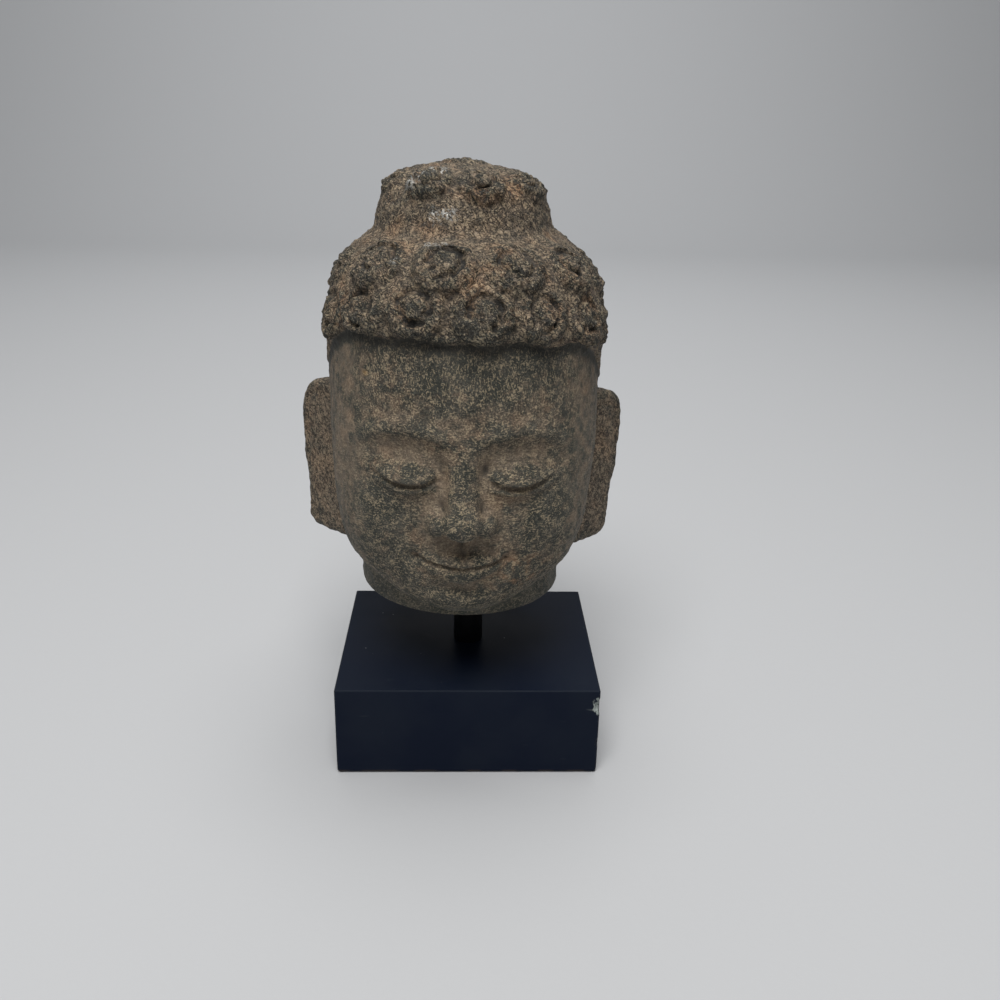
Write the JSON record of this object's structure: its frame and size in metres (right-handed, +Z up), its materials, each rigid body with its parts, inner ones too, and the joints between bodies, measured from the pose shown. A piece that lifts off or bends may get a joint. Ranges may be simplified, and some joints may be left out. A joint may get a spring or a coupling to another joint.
{
  "type": "stone buddha head on a stand",
  "caption": "Carved stone head of the Buddha with rows of curls, a topknot and long ears, held by a black rod on a black rectangular block.",
  "frame": {"origin": "centre of the base block's underside, on the surface it stands on", "axes": "+Z up along the rod, -Y the way the face looks, +X to the viewer's right when facing it"},
  "size_m": [0.1273, 0.1289, 0.2291],
  "materials": {
    "stone": "weathered, coarse tool marks, dark grey-green stone with a tan and rust patina",
    "rod": "black satin paint",
    "block": "satin black paint with chipped corners and light scratches"
  },
  "bodies": {
    "root": {"stone_head": "stone", "support_rod": "rod", "base_block": "block"}
  },
  "joints": []
}
